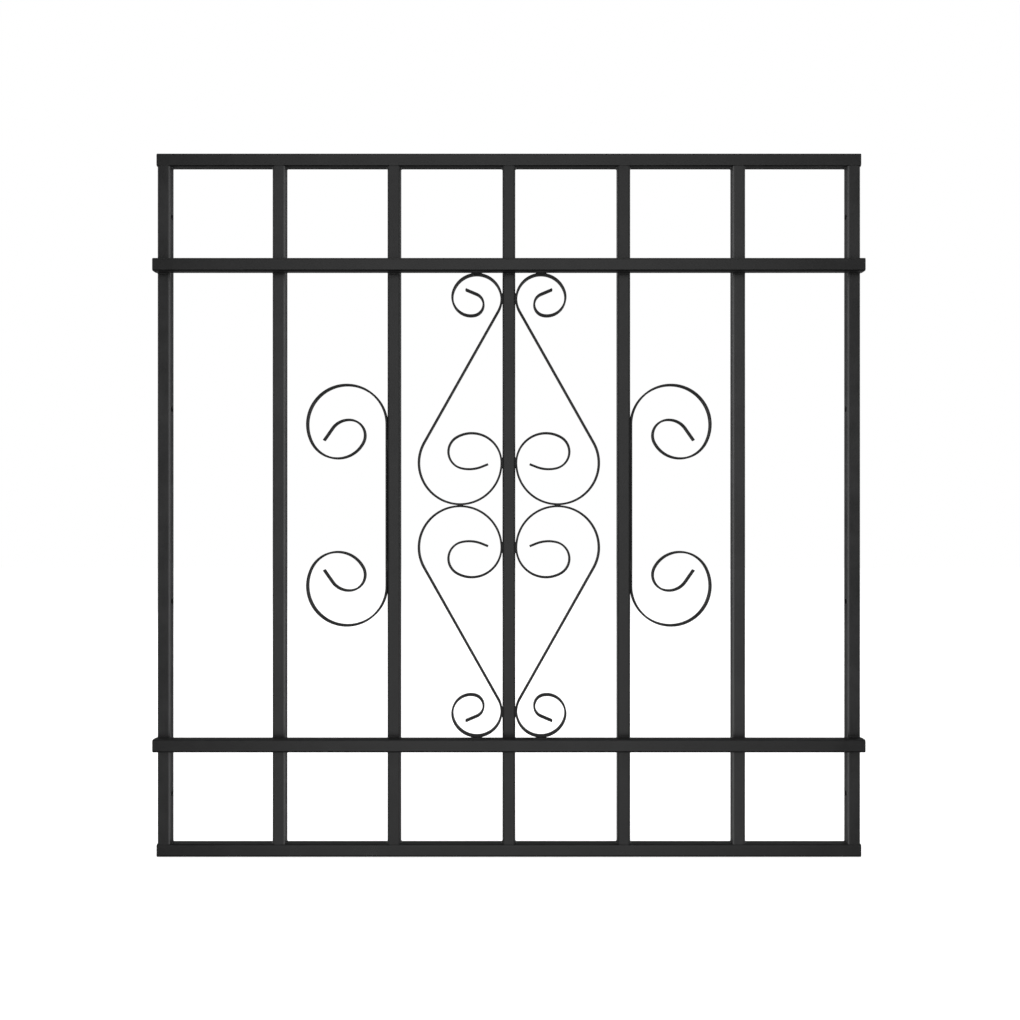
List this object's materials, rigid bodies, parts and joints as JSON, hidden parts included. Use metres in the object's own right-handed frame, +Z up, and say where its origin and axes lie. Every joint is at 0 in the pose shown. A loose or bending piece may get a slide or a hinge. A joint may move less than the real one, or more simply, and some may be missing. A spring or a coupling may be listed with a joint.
{
  "type": "window security bar",
  "caption": "Rigid welded window guard panel: a square tube frame with upright bars, two raised cross rails and flat bar scrolls, screwed into a window opening through its stiles.",
  "frame": {"origin": "centre of the panel's flat back, on the middle bar", "axes": "+X to the right and +Z up seen from outside the window, +Y into the building, so the front faces -Y"},
  "size_m": [0.876, 0.032, 0.875],
  "materials": {
    "tube": "satin black powder coat on square steel tube",
    "scroll": "satin black powder coat on bent flat steel bar",
    "plug": "moulded black plastic with a fine texture"
  },
  "bodies": {
    "root": {"top_rail": "tube", "bottom_rail": "tube", "upper_cross_rail": "tube", "lower_cross_rail": "tube", "left_stile": "tube", "right_stile": "tube", "bar_1": "tube", "bar_2": "tube", "bar_3": "tube", "bar_4": "tube", "bar_5": "tube", "centre_scroll_upper_left": "scroll", "centre_scroll_upper_right": "scroll", "centre_scroll_lower_left": "scroll", "centre_scroll_lower_right": "scroll", "side_scroll_left": "scroll", "side_scroll_right": "scroll", "top_rail_plug_left": "plug", "top_rail_plug_right": "plug", "bottom_rail_plug_left": "plug", "bottom_rail_plug_right": "plug", "upper_cross_rail_plug_left": "plug", "upper_cross_rail_plug_right": "plug", "lower_cross_rail_plug_left": "plug", "lower_cross_rail_plug_right": "plug"}
  },
  "joints": []
}
